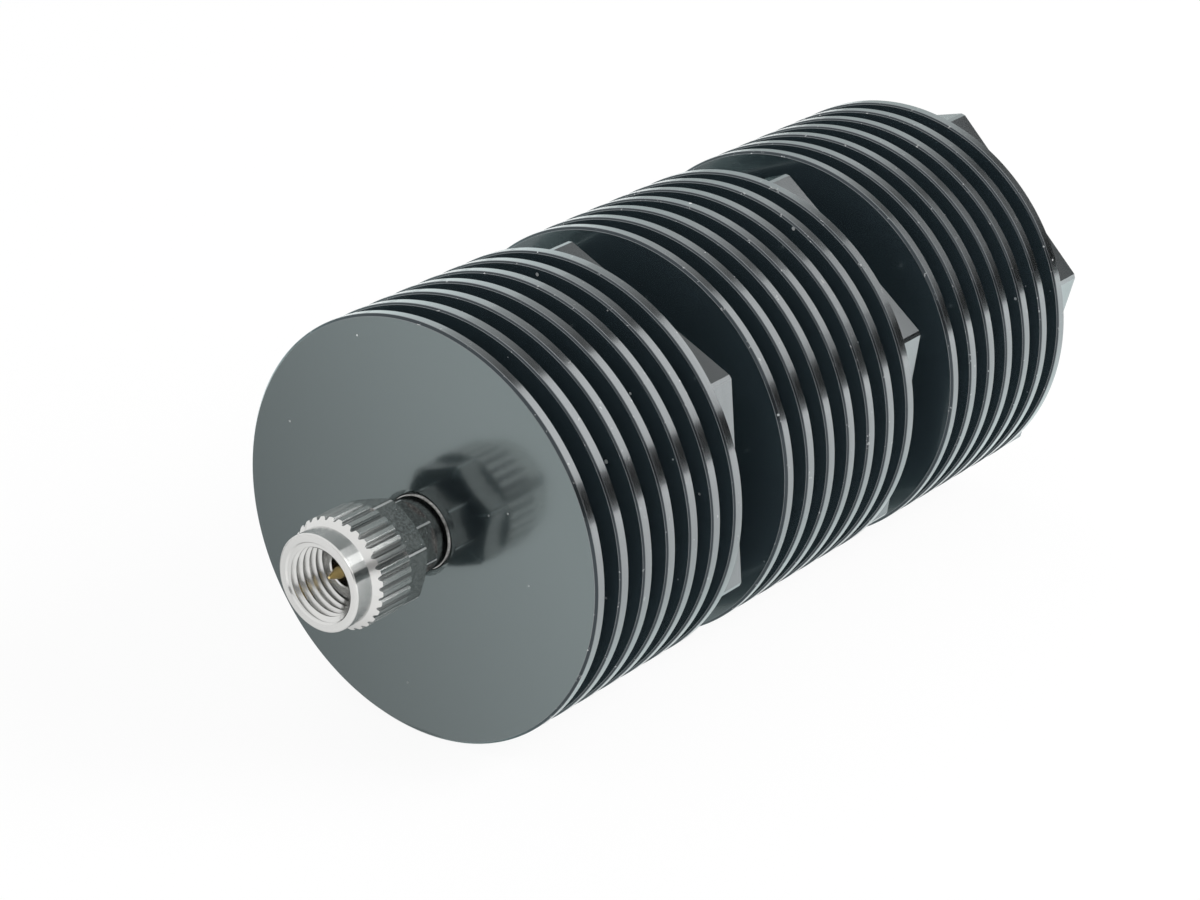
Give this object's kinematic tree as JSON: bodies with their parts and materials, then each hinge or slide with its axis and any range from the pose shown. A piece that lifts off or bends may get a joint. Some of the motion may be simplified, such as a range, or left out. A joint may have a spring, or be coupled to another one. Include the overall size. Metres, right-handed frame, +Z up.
{
  "type": "coaxial attenuator",
  "caption": "Finned coaxial power attenuator: screwed radiators with round fins and wrench collars, a male coupling-nut connector on one end and a female threaded one on the other.",
  "frame": {"origin": "on the line's axis, halfway between the two connectors' ends", "axes": "+Y along the line from the input connector to the output connector, +Z up"},
  "size_m": [0.035, 0.0912, 0.035],
  "materials": {
    "black_anodised": "satin black anodised, turned",
    "stainless_nut": "turned and passivated stainless",
    "stainless": "turned and passivated stainless",
    "contact_gold": "gold plated beryllium copper",
    "core_metal": "nickel plated brass",
    "spring_bronze": "phosphor bronze spring",
    "bead_plastic": "dark engineering plastic",
    "card_ceramic": "aluminium nitride with a resistive film"
  },
  "bodies": {
    "body": {"front_radiator": "black_anodised", "front_core_upper": "core_metal", "front_core_lower": "core_metal", "front_card": "card_ceramic", "middle_radiator": "black_anodised", "middle_core_upper": "core_metal", "middle_core_lower": "core_metal", "middle_card": "card_ceramic", "rear_radiator": "black_anodised", "rear_core_upper": "core_metal", "rear_core_lower": "core_metal", "rear_card": "card_ceramic", "front_link_disc": "core_metal", "front_link_bead": "bead_plastic", "front_link_contact": "contact_gold", "middle_link_disc": "core_metal", "middle_link_bead": "bead_plastic", "middle_link_contact": "contact_gold", "input_shell": "stainless", "input_bead": "bead_plastic", "input_pin": "contact_gold", "nut_snap_ring": "spring_bronze", "output_shell": "stainless", "output_bead": "bead_plastic", "output_contact": "contact_gold"},
    "nut": {"coupling_nut": "stainless_nut"}
  },
  "joints": [
    {"name": "nut_spin", "type": "hinge", "parent": "body", "child": "nut", "pos_m": [0, -0.04178, 0], "axis": [0, 1, 0], "continuous": true}
  ]
}
